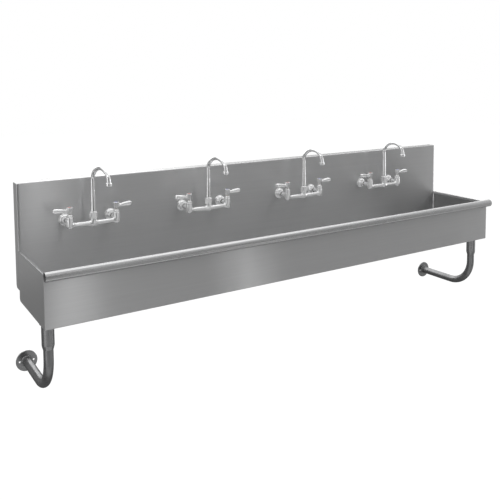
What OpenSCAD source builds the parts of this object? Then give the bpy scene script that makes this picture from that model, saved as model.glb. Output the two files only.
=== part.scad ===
// Wall-hung stainless trough sink with four wall faucets and two bent tube supports.
// Millimetres. X runs along the sink, Y runs back to the wall and Z is up.
// The origin is the centre of the wall hanger's back face, on the wall.

/* [Trough] */
// Overall length of the sink
sink_length = 2438; // [2100:1:3000]
// Bowl width, from the front wall's outer face to the face of the backsplash
bowl_width = 381; // [320:1:500]
// Bowl height, from its underside to the top of the end panels
bowl_height = 211; // [150:1:280]
// Height of the backsplash above the end panels
splash_height = 279; // [240:1:400]
// Distance from the wall to the face of the backsplash
wall_gap = 51; // [46:1:70]
// Thickness of the stainless sheet
sheet_t = 1.6; // [1:0.1:2.4]
// Outer radius of the bend between the bottom and the front wall
front_bend_r = 5; // [3:0.5:10]
// Outer radius of the cove between the bottom and the rear wall
rear_bend_r = 16; // [12:1:30]
// Outer diameter of the rolled front rim
roll_d = 38; // [30:1:50]
// Height of the roll's crest above the end panels
roll_rise = 13; // [8:1:14]
// Angle that the rim's sheet is rolled through
roll_sweep = 325; // [270:1:330]
// Height of the folded hem along the top of an end panel
hem_height = 12; // [8:1:20]

/* [Wall hanger] */
// Distance from the top of the backsplash down to the hanger's centre
hanger_drop = 45; // [40:1:80]
// Height of the hanger rail
hanger_height = 50; // [44:1:60]
// Thickness of the hanger rail and of the cleat
hanger_t = 3; // [2:0.5:4]
// Distance from each end of the sink to the end of the hanger
hanger_inset = 40; // [20:1:200]
// Diameter of a wall screw hole in the hanger
hanger_hole_d = 8; // [6:0.5:10]
// Distance between the two outer screw holes
outer_hole_spacing = 2000; // [1400:1:2050]
// Distance between the two inner screw holes
inner_hole_spacing = 800; // [400:1:1200]

/* [Supports] */
// Outer diameter of a support tube
tube_d = 38; // [30:0.5:42]
// Wall of a support tube
tube_wall = 2.6; // [1.5:0.1:4]
// Outer diameter of the socket under the bowl
socket_d = 48; // [47:0.5:54]
// Straight length of the socket
socket_length = 85; // [60:1:110]
// Length of the taper below the socket
socket_taper = 15; // [8:1:25]
// Distance from an end of the sink to a support's axis
support_inset = 30; // [29:1:80]
// Distance from the front wall back to a support's upright axis
support_setback = 76; // [50:1:120]
// Distance from the bowl's underside down to the tube's level run
support_drop = 280; // [260:1:340]
// Bend radius of the tube's centre line
tube_bend_r = 140; // [60:1:160]
// Diameter of a wall flange
flange_d = 89; // [80:1:110]
// Thickness of a wall flange
flange_t = 5; // [3:0.5:8]
// Distance between a flange's two screw holes
flange_hole_spacing = 58; // [54:1:64]
// Diameter of a flange's screw holes
flange_hole_d = 8.4; // [5:0.2:10]

/* [Drain] */
// Outer diameter of the drain's threaded tail
drain_tail_d = 48.26; // [40:0.01:52]
// Bore of the drain
drain_bore_d = 41; // [30:0.5:44]
// Diameter of the drain's flange
drain_flange_d = 76; // [70:1:90]
// Diameter of the pressed recess round the drain
drain_recess_d = 120; // [110:1:160]
// Depth of the pressed recess
drain_recess_depth = 5; // [3:0.5:8]
// Free length of the tail below its locknut
drain_tail_free = 28; // [20:1:40]

/* [Faucet stations] */
// Distance from the left end of the sink to the first faucet
first_station = 296; // [200:1:400]
// Distance from one faucet to the next
station_pitch = 553; // [400:1:560]
// Height of the inlets above the end panels
inlet_rise = 106; // [90:1:140]
// Distance between a faucet's two inlets
inlet_spacing = 203.2; // [180:0.1:230]
// Outer diameter of a supply nipple
nipple_d = 21.3; // [20:0.1:22]
// Length of the nipple behind its locknut
nipple_free = 24; // [15:1:28]
// Distance from the backsplash to the valves' axes
valve_reach = 75; // [60:1:100]
// Diameter of a valve chamber's casting
tower_d = 28; // [24:0.5:32]
// Angle that the spouts are swung to the right at rest
spout_swing = 16; // [0:1:30]
// Outer diameter of the spout tube
spout_d = 17; // [14:0.5:19]
// Wall of the spout tube
spout_wall = 1.5; // [1:0.1:2.5]
// Centre-line radius of the gooseneck
gooseneck_r = 57; // [45:1:90]
// Height of the gooseneck's top above the inlets
gooseneck_rise = 235; // [215:1:320]
// Length of a lever, from the valve's axis to the tip
lever_length = 70; // [55:1:85]
// Width of a lever at its tip
lever_tip_width = 22; // [14:1:26]

/* [Hidden] */
STATION_COUNT = 4;
FIXED_NODES = [
    "back_panel", "trough_pan", "left_end_panel", "right_end_panel",
    "wall_hanger", "hanger_cleat",
    "drain_body", "drain_strainer", "drain_gasket", "drain_locknut",
    "left_support_socket", "right_support_socket",
    "left_support_tube", "right_support_tube",
    "left_wall_flange", "right_wall_flange", "socket_set_screws",
    "supply_nipples", "supply_locknuts", "wall_escutcheons",
    "coupling_nuts", "coupling_washers", "valve_bonnets", "spout_nuts"
];
STATION_NODES = [
    "faucet_body", "gooseneck_spout", "aerator",
    "hot_handle", "hot_stem", "hot_index",
    "cold_handle", "cold_stem", "cold_index"
];

$fn = 64;
hull_fn = 32;

// Clearances, and the overrun of every cut
pivot_clearance = 0.05;
thread_clearance = 0.1;
tube_clearance = 0.25;
running_gap = 0.3;
cut_over = 1;

// Grooves that end a thread next to its locknut
thread_relief_width = 2;
thread_relief_depth = 0.8;

// Levels and faces of the trough
top_z = hanger_drop;
rim_z = top_z - splash_height;
bottom_z = rim_z - bowl_height;
splash_face_y = -wall_gap;
splash_back_y = splash_face_y + sheet_t;
front_face_y = splash_face_y - bowl_width;
half_length = sink_length / 2;
inner_length = sink_length - 2 * sheet_t;
roll_r = roll_d / 2;
roll_y = front_face_y + sheet_t - roll_r;
roll_z = rim_z + roll_rise - roll_r;

// Returns of the back panel
back_lip_height = 12;
return_foot_rise = 44;
return_foot_cut = 10;

// Wall hanger and cleat
pocket_clearance = 0.5;
pocket_width = hanger_t + 2 * pocket_clearance;
hanger_lip_z = 0;
cleat_tab_clearance = 2;
cleat_foot_drop = 20;
hanger_hole_z = hanger_height / 4;
hanger_length = sink_length - 2 * hanger_inset;

// Supports
tube_r = tube_d / 2;
tube_top_gap = 3;
collar_r = 28;
collar_t = 3;
socket_tip_wall = 1;
socket_bore_r = tube_r + tube_clearance;
support_x = half_length - support_inset;
support_y = front_face_y + support_setback;
support_z = bottom_z - support_drop;
tube_top_z = bottom_z - collar_t - tube_top_gap;
flange_edge_chamfer = 1;
set_screw_r = 3;
set_screw_length = 8;
set_screw_drop = 60;
set_screw_key_r = 1.6;
set_screw_key_depth = 3;

// Drain
drain_y = (front_face_y + splash_face_y) / 2;
drain_tail_r = drain_tail_d / 2;
drain_bore_r = drain_bore_d / 2;
drain_hole_clearance = 1.5;
drain_hole_r = drain_tail_r + drain_hole_clearance;
drain_floor_z = bottom_z + sheet_t - drain_recess_depth;
drain_under_z = bottom_z - drain_recess_depth;
recess_lap = 3;
recess_slope_run = 8;
drain_flange_t = 3;
drain_flange_chamfer = 1;
strainer_t = 1.6;
strainer_ledge = 2.5;
strainer_hole_r = 2.6;
strainer_ring_r = 8;
strainer_rings = 2;
strainer_holes_per_ring = 6;
gasket_t = 3;
gasket_r = 36;
locknut_t = 9;
locknut_r = 37;

// Supply fittings, along Y from the face of the backsplash
inlet_z = rim_z + inlet_rise;
inlet_half = inlet_spacing / 2;
nipple_r = nipple_d / 2;
nipple_wall = 2.8;
nipple_hole_clearance = 1.5;
supply_locknut_t = 6;
supply_locknut_r = 17;
escutcheon_t = 7.5;
escutcheon_r = 26;
escutcheon_edge = 1.5;
escutcheon_crown_r = 17;
coupling_nut_length = 19.5;
coupling_nut_r = 17;
coupling_lip = 3;
coupling_washer_t = 2;
tail_flange_t = 2;
nut_end = escutcheon_t + coupling_nut_length;
tail_flange_end = nut_end - coupling_lip;
tail_flange_start = tail_flange_end - tail_flange_t;
nipple_front = tail_flange_start - coupling_washer_t;

// Faucet body, from the centre of its inlets
tower_r = tower_d / 2;
tower_drop = 26;
tower_rise = 24;
chamber_r = 9;
chamber_floor = -14;
arm_r = 10;
arm_bore_r = 6;
bar_end_r = 8;
bar_mid_r = 11;
bar_drop = 10;
bar_sag = 2.5;
bar_bore_r = 4.5;
bar_length = norm([inlet_half, bar_sag]);
bar_tilt = asin(bar_sag / bar_length);
boss_r = 13;
boss_top = 10;
neck_r = 11;
neck_top = 24;
spout_socket_floor = -4;

// Spout and its nut
spout_r = spout_d / 2;
spout_tail_gap = 1;
spout_collar_r = 10.7;
spout_collar_t = 3.2;
spout_collar_z = neck_top + running_gap;
spout_nut_shoulder = spout_collar_z + spout_collar_t + running_gap;
spout_nut_top = 38;
spout_nut_r = 17.5;
ferrule_r = 11.5;
ferrule_height = 90;
ferrule_tip_step = 0.3;
ferrule_z = spout_nut_top + running_gap;
arc_z = gooseneck_rise - spout_r - gooseneck_r;
outlet_drop = 6;
aerator_r = 12;
aerator_height = 14;
aerator_mouth_r = 8.5;
aerator_mouth_depth = 2.5;
aerator_mesh_t = 1;
aerator_bore_r = 7;
aerator_hole_r = 1.2;
aerator_hole_ring_r = 4.4;
aerator_hole_count = 6;

// Valve, handle and index, from the centre of the inlets
stem_r = 4;
stem_disc_r = 8.4;
stem_disc_t = 7;
stem_disc_gap = 0.5;
stem_top = 61;
bonnet_barrel_z = 6;
bonnet_hex_r = 14;
bonnet_hex_t = 6;
gland_r = 10;
gland_tip_r = 7.5;
gland_t = 5;
bonnet_top = tower_rise + bonnet_hex_t + gland_t;
stem_neck = 3;
hub_z = bonnet_top + stem_neck;
hub_top = 66;
hub_foot_r = 8.5;
hub_top_r = 14.5;
index_r = 8;
index_pocket_r = index_r + thread_clearance;
index_proud = 0.6;
screw_r = 2;
screw_length = 10;
screw_hole_depth = 11;
screw_head_r = 3.8;
screw_head_t = 2.5;
index_z = stem_top + screw_head_t + running_gap;
lever_root_x = 6;
lever_root_r = 6;
lever_root_t = 12;
lever_root_z = 45;
lever_tip_r = lever_tip_width / 2;
lever_tip_x = lever_length - lever_tip_r;
lever_tip_t = 18;
lever_rise = 4;
lever_tip_z = lever_root_z + (lever_root_t - lever_tip_t) / 2 + lever_rise;
dish_depth = 1.5;
dish_margin = 5;
dish_start_x = 32;
dish_root_r = 4;
flute_r = 6;
flute_start_x = 24;
flute_root_depth = 1.2;
flute_tip_depth = 2.2;

// Sizes of the lever blade at a distance x from the valve's axis
function blade_share(x) = (x - lever_root_x) / (lever_tip_x - lever_root_x);
function blade_half_width(x) = lever_root_r + blade_share(x) * (lever_tip_r - lever_root_r);
function blade_foot(x) = lever_root_z + blade_share(x) * (lever_tip_z - lever_root_z);
function blade_thickness(x) = lever_root_t + blade_share(x) * (lever_tip_t - lever_root_t);
function blade_middle(x) = blade_foot(x) + blade_thickness(x) / 2;

function station_x(i) = -half_length + first_station + i * station_pitch;

// Helpers

// A box along X, centred on X = 0, between two corners in Y and Z
module x_bar(length, y0, z0, y1, z1) {
    translate([-length / 2, y0, z0])
        cube([length, y1 - y0, z1 - z0]);
}

// A bent strip of sheet along X: part of a ring about an axis at y, z
module x_bend(length, y, z, r, thickness, from_angle, to_angle) {
    translate([-length / 2, y, z])
        rotate([90, 0, 90])
            rotate([0, 0, from_angle])
                rotate_extrude(angle = to_angle - from_angle)
                    translate([r - thickness, 0])
                        square([thickness, length]);
}

// Puts a shape drawn up along Z at a place on the wall side, pointing forward
module facing_front() {
    rotate([90, 0, 0])
        children();
}

// A plain ring or tube along Z
module ring(outer_r, inner_r, height) {
    difference() {
        cylinder(r = outer_r, h = height);
        translate([0, 0, -cut_over])
            cylinder(r = inner_r, h = height + 2 * cut_over);
    }
}

// A hexagonal ring along Z
module hex_ring(outer_r, inner_r, height) {
    difference() {
        cylinder(r = outer_r, h = height, $fn = 6);
        translate([0, 0, -cut_over])
            cylinder(r = inner_r, h = height + 2 * cut_over);
    }
}

module at_station(i) {
    translate([station_x(i), splash_face_y, inlet_z])
        children();
}

module at_both_inlets() {
    for (side = [-1, 1])
        translate([side * inlet_half, 0, 0])
            children();
}

module at_all_inlets() {
    for (i = [0 : STATION_COUNT - 1])
        at_station(i)
            at_both_inlets()
                children();
}

module at_valve(side) {
    translate([side * inlet_half, -valve_reach, 0])
        children();
}

module at_support(side) {
    translate([side * support_x, support_y, 0])
        children();
}

// Sheet metal body

module side_return(side) {
    outline = [
        [0, top_z],
        [0, bottom_z + return_foot_rise + return_foot_cut],
        [-return_foot_cut, bottom_z + return_foot_rise],
        [splash_face_y, bottom_z + return_foot_rise],
        [splash_face_y, top_z]
    ];
    translate([side * (half_length - sheet_t / 2), 0, 0])
        rotate([90, 0, 90])
            linear_extrude(sheet_t, center = true)
                polygon(outline);
}

module back_panel() {
    color("silver")
        difference() {
            union() {
                x_bar(sink_length, splash_face_y, bottom_z + rear_bend_r, splash_back_y, top_z);
                x_bar(sink_length, splash_face_y, top_z - sheet_t, 0, top_z);
                x_bar(sink_length, -sheet_t, top_z - back_lip_height, 0, top_z);
                side_return(-1);
                side_return(1);
            }
            at_all_inlets()
                translate([0, sheet_t + cut_over, 0])
                    facing_front()
                        cylinder(r = nipple_r + nipple_hole_clearance, h = sheet_t + 2 * cut_over);
        }
}

module drain_recess() {
    slope_foot_r = drain_recess_d / 2 - recess_slope_run;
    rim_r = drain_recess_d / 2;
    outline = [
        [rim_r + recess_lap, 0],
        [rim_r + recess_lap, sheet_t],
        [rim_r, sheet_t],
        [slope_foot_r, sheet_t - drain_recess_depth],
        [drain_hole_r, sheet_t - drain_recess_depth],
        [drain_hole_r, -drain_recess_depth],
        [slope_foot_r, -drain_recess_depth],
        [rim_r, 0]
    ];
    translate([0, drain_y, bottom_z])
        rotate_extrude()
            polygon(outline);
}

module trough_pan() {
    color("silver")
        union() {
            difference() {
                x_bar(
                    inner_length, front_face_y + front_bend_r, bottom_z,
                    splash_back_y - rear_bend_r, bottom_z + sheet_t
                );
                translate([0, drain_y, bottom_z - cut_over])
                    cylinder(r = drain_recess_d / 2, h = sheet_t + 2 * cut_over);
            }
            drain_recess();
            x_bend(
                inner_length, splash_back_y - rear_bend_r, bottom_z + rear_bend_r,
                rear_bend_r, sheet_t, 270, 360
            );
            x_bend(
                inner_length, front_face_y + front_bend_r, bottom_z + front_bend_r,
                front_bend_r, sheet_t, 180, 270
            );
            x_bar(
                inner_length, front_face_y, bottom_z + front_bend_r,
                front_face_y + sheet_t, roll_z
            );
            x_bend(sink_length, roll_y, roll_z, roll_r, sheet_t, 0, roll_sweep);
        }
}

module end_panel(side) {
    hem_front_y = front_face_y + sheet_t + thread_clearance;
    color("silver")
        translate([side * (half_length - sheet_t / 2), 0, 0])
            union() {
                x_bar(sheet_t, front_face_y + sheet_t, roll_z, splash_face_y, rim_z);
                x_bar(sheet_t, front_face_y, bottom_z + rear_bend_r, splash_face_y, roll_z);
                x_bar(
                    sheet_t, front_face_y, bottom_z + front_bend_r,
                    front_face_y + front_bend_r, bottom_z + rear_bend_r
                );
                x_bar(
                    sheet_t, front_face_y + front_bend_r, bottom_z,
                    splash_back_y - rear_bend_r, bottom_z + rear_bend_r
                );
                x_bend(
                    sheet_t, front_face_y + front_bend_r, bottom_z + front_bend_r,
                    front_bend_r, front_bend_r, 180, 270
                );
                x_bend(
                    sheet_t, splash_back_y - rear_bend_r, bottom_z + rear_bend_r,
                    rear_bend_r, rear_bend_r, 270, 360
                );
                translate([-side * sheet_t, 0, 0])
                    x_bar(sheet_t, hem_front_y, rim_z - hem_height, splash_face_y, rim_z);
            }
}

// Wall hanger

module wall_hanger() {
    lip_back_y = -hanger_t - pocket_width;
    lip_front_y = lip_back_y - hanger_t;
    foot_z = -hanger_height / 2;
    color("lightgray")
        difference() {
            union() {
                x_bar(hanger_length, -hanger_t, foot_z, 0, hanger_height / 2);
                x_bar(hanger_length, lip_front_y, foot_z, 0, foot_z + hanger_t);
                x_bar(hanger_length, lip_front_y, foot_z, lip_back_y, hanger_lip_z);
            }
            for (spacing = [outer_hole_spacing, inner_hole_spacing], side = [-1, 1])
                translate([side * spacing / 2, cut_over, hanger_hole_z])
                    facing_front()
                        cylinder(d = hanger_hole_d, h = hanger_t + 2 * cut_over);
        }
}

module hanger_cleat() {
    tab_back_y = -hanger_t - pocket_clearance;
    tab_front_y = tab_back_y - hanger_t;
    tab_foot_z = -hanger_height / 2 + hanger_t + cleat_tab_clearance;
    web_top_z = hanger_lip_z + hanger_t;
    color("lightgray")
        union() {
            x_bar(hanger_length, tab_front_y, tab_foot_z, tab_back_y, web_top_z);
            x_bar(hanger_length, splash_back_y, hanger_lip_z, tab_back_y, web_top_z);
            x_bar(
                hanger_length, splash_back_y, hanger_lip_z - cleat_foot_drop,
                splash_back_y + hanger_t, web_top_z
            );
        }
}

// Drain

module drain_body() {
    locknut_foot_z = drain_under_z - gasket_t - locknut_t;
    tail_foot_z = locknut_foot_z - drain_tail_free;
    relief_r = drain_tail_r - thread_relief_depth;
    seat_z = drain_floor_z + drain_flange_t - strainer_t;
    seat_r = drain_bore_r + strainer_ledge;
    flange_r = drain_flange_d / 2;
    flange_z = drain_floor_z + drain_flange_t;
    outline = [
        [drain_bore_r, tail_foot_z],
        [drain_tail_r, tail_foot_z],
        [drain_tail_r, locknut_foot_z - thread_relief_width],
        [relief_r, locknut_foot_z - thread_relief_width],
        [relief_r, locknut_foot_z],
        [drain_tail_r, locknut_foot_z],
        [drain_tail_r, drain_floor_z],
        [flange_r, drain_floor_z],
        [flange_r, flange_z - drain_flange_chamfer],
        [flange_r - drain_flange_chamfer, flange_z],
        [seat_r, flange_z],
        [seat_r, seat_z],
        [drain_bore_r, seat_z]
    ];
    color("gainsboro")
        translate([0, drain_y, 0])
            rotate_extrude()
                polygon(outline);
}

module drain_strainer() {
    color("gainsboro")
        translate([0, drain_y, drain_floor_z + drain_flange_t - strainer_t])
            difference() {
                cylinder(r = drain_bore_r + strainer_ledge - thread_clearance, h = strainer_t);
                translate([0, 0, -cut_over]) {
                    cylinder(r = strainer_hole_r, h = strainer_t + 2 * cut_over);
                    for (k = [1 : strainer_rings])
                        for (j = [1 : k * strainer_holes_per_ring])
                            rotate([0, 0, 360 * j / (k * strainer_holes_per_ring)])
                                translate([k * strainer_ring_r, 0, 0])
                                    cylinder(r = strainer_hole_r, h = strainer_t + 2 * cut_over);
                }
            }
}

module drain_gasket() {
    color("dimgray")
        translate([0, drain_y, drain_under_z - gasket_t])
            ring(gasket_r, drain_tail_r + thread_clearance, gasket_t);
}

module drain_locknut() {
    color("goldenrod")
        translate([0, drain_y, drain_under_z - gasket_t - locknut_t])
            hex_ring(locknut_r, drain_tail_r + thread_clearance, locknut_t);
}

// Supports

module support_socket(side) {
    socket_r = socket_d / 2;
    taper_z = bottom_z - socket_length;
    tip_z = taper_z - socket_taper;
    outline = [
        [0, bottom_z],
        [collar_r, bottom_z],
        [collar_r, bottom_z - collar_t],
        [socket_r, bottom_z - collar_t],
        [socket_r, taper_z],
        [socket_bore_r + socket_tip_wall, tip_z],
        [socket_bore_r, tip_z],
        [socket_bore_r, bottom_z - collar_t],
        [0, bottom_z - collar_t]
    ];
    color("gray")
        at_support(side)
            difference() {
                rotate_extrude()
                    polygon(outline);
                translate([0, 0, bottom_z - set_screw_drop])
                    rotate([-90, 0, 0])
                        cylinder(r = set_screw_r + thread_clearance, h = socket_d);
            }
}

// The run of a support tube as a solid rod of radius r, longer by extra at both ends
module support_run(r, extra) {
    bend_z = support_z + tube_bend_r;
    level_start = tube_bend_r;
    level_length = -support_y - flange_t - level_start;
    translate([0, 0, bend_z])
        cylinder(r = r, h = tube_top_z - bend_z + extra);
    translate([0, tube_bend_r, bend_z])
        rotate([90, 0, 90])
            rotate([0, 0, 180])
                rotate_extrude(angle = 90)
                    translate([tube_bend_r, 0])
                        circle(r = r);
    translate([0, level_start, support_z])
        rotate([-90, 0, 0])
            cylinder(r = r, h = level_length + extra);
}

module support_tube(side) {
    color("dimgray")
        at_support(side)
            difference() {
                support_run(tube_r, 0);
                support_run(tube_r - tube_wall, cut_over);
            }
}

module wall_flange(side) {
    flange_r = flange_d / 2;
    color("gray")
        translate([side * support_x, 0, support_z])
            facing_front()
                difference() {
                    union() {
                        cylinder(r = flange_r, h = flange_t - flange_edge_chamfer);
                        translate([0, 0, flange_t - flange_edge_chamfer])
                            cylinder(
                                r1 = flange_r, r2 = flange_r - flange_edge_chamfer,
                                h = flange_edge_chamfer
                            );
                    }
                    for (hole_side = [-1, 1])
                        translate([hole_side * flange_hole_spacing / 2, 0, -cut_over])
                            cylinder(d = flange_hole_d, h = flange_t + 2 * cut_over);
                }
}

module socket_set_screws() {
    color("dimgray")
        for (side = [-1, 1])
            at_support(side)
                translate([0, tube_r + pivot_clearance, bottom_z - set_screw_drop])
                    rotate([-90, 0, 0])
                        difference() {
                            cylinder(r = set_screw_r, h = set_screw_length);
                            translate([0, 0, set_screw_length - set_screw_key_depth])
                                cylinder(
                                    r = set_screw_key_r, h = set_screw_key_depth + cut_over,
                                    $fn = 6
                                );
                        }
}

// Supply fittings

module supply_nipples() {
    back_end = sheet_t + supply_locknut_t + nipple_free;
    color("gold")
        at_all_inlets()
            translate([0, back_end, 0])
                facing_front()
                    difference() {
                        ring(nipple_r, nipple_r - nipple_wall, back_end + nipple_front);
                        translate([0, 0, nipple_free - thread_relief_width])
                            ring(
                                nipple_r + cut_over, nipple_r - thread_relief_depth,
                                thread_relief_width
                            );
                    }
}

module supply_locknuts() {
    color("goldenrod")
        at_all_inlets()
            translate([0, sheet_t + supply_locknut_t, 0])
                facing_front()
                    hex_ring(supply_locknut_r, nipple_r + thread_clearance, supply_locknut_t);
}

module wall_escutcheons() {
    bore_r = nipple_r + thread_clearance;
    outline = [
        [bore_r, 0],
        [escutcheon_r, 0],
        [escutcheon_r, escutcheon_edge],
        [escutcheon_crown_r, escutcheon_t],
        [bore_r, escutcheon_t]
    ];
    color("white")
        at_all_inlets()
            facing_front()
                rotate_extrude()
                    polygon(outline);
}

module coupling_nuts() {
    color("white")
        at_all_inlets()
            facing_front()
                difference() {
                    translate([0, 0, escutcheon_t])
                        cylinder(r = coupling_nut_r, h = coupling_nut_length, $fn = 6);
                    translate([0, 0, escutcheon_t - cut_over])
                        cylinder(
                            r = nipple_r + thread_clearance,
                            h = tail_flange_end - escutcheon_t + cut_over
                        );
                    translate([0, 0, tail_flange_end - cut_over])
                        cylinder(r = arm_r + thread_clearance, h = coupling_lip + 2 * cut_over);
                }
}

module coupling_washers() {
    color("dimgray")
        at_all_inlets()
            translate([0, -nipple_front, 0])
                facing_front()
                    ring(nipple_r - thread_clearance, arm_bore_r, coupling_washer_t);
}

// Faucet

module valve_tower() {
    translate([0, 0, tower_r - tower_drop]) {
        sphere(r = tower_r);
        cylinder(r = tower_r, h = tower_rise + tower_drop - tower_r);
    }
}

module inlet_arm() {
    translate([0, -tail_flange_start, 0])
        facing_front() {
            cylinder(r = nipple_r, h = tail_flange_t);
            cylinder(r = arm_r, h = valve_reach - tail_flange_start);
        }
}

module body_bar() {
    for (side = [0, 1])
        mirror([side, 0, 0])
            translate([-inlet_half, -valve_reach, -bar_drop])
                rotate([0, 90 + bar_tilt, 0])
                    cylinder(r1 = bar_end_r, r2 = bar_mid_r, h = bar_length);
}

module spout_boss() {
    translate([0, -valve_reach, 0]) {
        translate([0, 0, -bar_drop - bar_sag]) {
            sphere(r = boss_r);
            cylinder(r = boss_r, h = boss_top + bar_drop + bar_sag);
        }
        cylinder(r = neck_r, h = neck_top);
    }
}

module body_waterways() {
    bar_bore_z = -bar_drop - bar_sag / 2;
    for (side = [-1, 1]) {
        at_valve(side)
            translate([0, 0, chamber_floor])
                cylinder(r = chamber_r, h = tower_rise - chamber_floor + cut_over);
        translate([side * inlet_half, cut_over - tail_flange_start, 0])
            facing_front()
                cylinder(r = arm_bore_r, h = valve_reach - tail_flange_start + cut_over);
    }
    translate([-inlet_half, -valve_reach, bar_bore_z])
        rotate([0, 90, 0])
            cylinder(r = bar_bore_r, h = inlet_spacing);
    translate([0, -valve_reach, bar_bore_z])
        cylinder(r = arm_bore_r, h = spout_socket_floor - bar_bore_z + cut_over);
    translate([0, -valve_reach, spout_socket_floor])
        cylinder(r = spout_r + pivot_clearance, h = neck_top - spout_socket_floor + cut_over);
}

module faucet_body() {
    color("white")
        difference() {
            union() {
                for (side = [-1, 1])
                    at_valve(side)
                        valve_tower();
                at_both_inlets()
                    inlet_arm();
                body_bar();
                spout_boss();
            }
            body_waterways();
        }
}

module valve_bonnets() {
    color("white")
        for (i = [0 : STATION_COUNT - 1], side = [-1, 1])
            at_station(i)
                at_valve(side)
                    difference() {
                        union() {
                            translate([0, 0, bonnet_barrel_z])
                                cylinder(
                                    r = chamber_r - thread_clearance,
                                    h = tower_rise - bonnet_barrel_z
                                );
                            translate([0, 0, tower_rise])
                                cylinder(r = bonnet_hex_r, h = bonnet_hex_t, $fn = 6);
                            translate([0, 0, tower_rise + bonnet_hex_t])
                                cylinder(r1 = gland_r, r2 = gland_tip_r, h = gland_t);
                        }
                        translate([0, 0, bonnet_barrel_z - cut_over])
                            cylinder(
                                r = stem_r + pivot_clearance,
                                h = bonnet_top - bonnet_barrel_z + 2 * cut_over
                            );
                    }
}

module spout_nuts() {
    color("white")
        for (i = [0 : STATION_COUNT - 1])
            at_station(i)
                translate([0, -valve_reach, 0])
                    difference() {
                        translate([0, 0, boss_top])
                            cylinder(r = spout_nut_r, h = spout_nut_top - boss_top, $fn = 6);
                        translate([0, 0, boss_top - cut_over])
                            cylinder(
                                r = neck_r + thread_clearance,
                                h = spout_nut_shoulder - boss_top + cut_over
                            );
                        translate([0, 0, boss_top])
                            cylinder(
                                r = spout_r + running_gap,
                                h = spout_nut_top - boss_top + cut_over
                            );
                    }
}

// The run of a spout as a solid rod of radius r, longer by extra at both ends
module spout_run(r, extra) {
    tail_z = spout_socket_floor + spout_tail_gap;
    translate([0, 0, tail_z - extra])
        cylinder(r = r, h = arc_z - tail_z + extra);
    translate([0, -gooseneck_r, arc_z])
        rotate([90, 0, 90])
            rotate_extrude(angle = 180)
                translate([gooseneck_r, 0])
                    circle(r = r);
    translate([0, -2 * gooseneck_r, arc_z - outlet_drop - extra])
        cylinder(r = r, h = outlet_drop + extra);
}

module gooseneck_spout() {
    color("white")
        translate([0, -valve_reach, 0])
            rotate([0, 0, spout_swing])
                difference() {
                    union() {
                        spout_run(spout_r, 0);
                        translate([0, 0, spout_collar_z])
                            cylinder(r = spout_collar_r, h = spout_collar_t);
                        translate([0, 0, ferrule_z])
                            cylinder(
                                r1 = ferrule_r, r2 = spout_r + ferrule_tip_step,
                                h = ferrule_height
                            );
                    }
                    spout_run(spout_r - spout_wall, cut_over);
                }
}

module aerator_holes() {
    cylinder(r = aerator_hole_r, h = aerator_mesh_t + 2 * cut_over);
    for (j = [1 : aerator_hole_count])
        rotate([0, 0, 360 * j / aerator_hole_count])
            translate([aerator_hole_ring_r, 0, 0])
                cylinder(r = aerator_hole_r, h = aerator_mesh_t + 2 * cut_over);
}

module aerator() {
    bore_z = aerator_mouth_depth + aerator_mesh_t;
    color("gainsboro")
        translate([0, -valve_reach, 0])
            rotate([0, 0, spout_swing])
                translate([0, -2 * gooseneck_r, arc_z - aerator_height])
                    difference() {
                        cylinder(r = aerator_r, h = aerator_height);
                        translate([0, 0, -cut_over])
                            cylinder(r = aerator_mouth_r, h = aerator_mouth_depth + cut_over);
                        translate([0, 0, aerator_mouth_depth - cut_over])
                            aerator_holes();
                        translate([0, 0, bore_z])
                            cylinder(r = aerator_bore_r, h = aerator_height);
                        translate([0, 0, aerator_height - outlet_drop])
                            cylinder(r = spout_r + pivot_clearance, h = outlet_drop + cut_over);
                    }
}

// The lever blade, along +X from the valve's axis
module lever_blade() {
    hull() {
        translate([lever_root_x, 0, lever_root_z])
            cylinder(r = lever_root_r, h = lever_root_t, $fn = hull_fn);
        translate([lever_tip_x, 0, lever_tip_z])
            cylinder(r = lever_tip_r, h = lever_tip_t, $fn = hull_fn);
    }
}

// The shallow dish in the top of the blade
module lever_dish() {
    root_z = blade_foot(dish_start_x) + blade_thickness(dish_start_x) - dish_depth;
    hull() {
        translate([dish_start_x, 0, root_z])
            cylinder(r = dish_root_r, h = dish_depth + cut_over, $fn = hull_fn);
        translate([lever_tip_x, 0, lever_tip_z + lever_tip_t - dish_depth])
            cylinder(r = lever_tip_r - dish_margin, h = dish_depth + cut_over, $fn = hull_fn);
    }
}

// The long hollow in one side of the blade
module lever_flute(side) {
    hull() {
        translate([
            flute_start_x,
            side * (blade_half_width(flute_start_x) + flute_r - flute_root_depth),
            blade_middle(flute_start_x)
        ])
            sphere(r = flute_r, $fn = hull_fn);
        translate([
            lever_tip_x,
            side * (lever_tip_r + flute_r - flute_tip_depth),
            blade_middle(lever_tip_x)
        ])
            sphere(r = flute_r, $fn = hull_fn);
    }
}

module lever_handle(side) {
    color("white")
        at_valve(side)
            mirror([(1 - side) / 2, 0, 0])
                difference() {
                    union() {
                        translate([0, 0, hub_z])
                            cylinder(r1 = hub_foot_r, r2 = hub_top_r, h = hub_top - hub_z);
                        lever_blade();
                    }
                    lever_dish();
                    for (flute_side = [-1, 1])
                        lever_flute(flute_side);
                    translate([0, 0, hub_z - cut_over])
                        cylinder(r = stem_r + pivot_clearance, h = stem_top - hub_z + 2 * cut_over);
                    translate([0, 0, stem_top])
                        cylinder(r = index_pocket_r, h = hub_top - stem_top + cut_over);
                }
}

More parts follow.
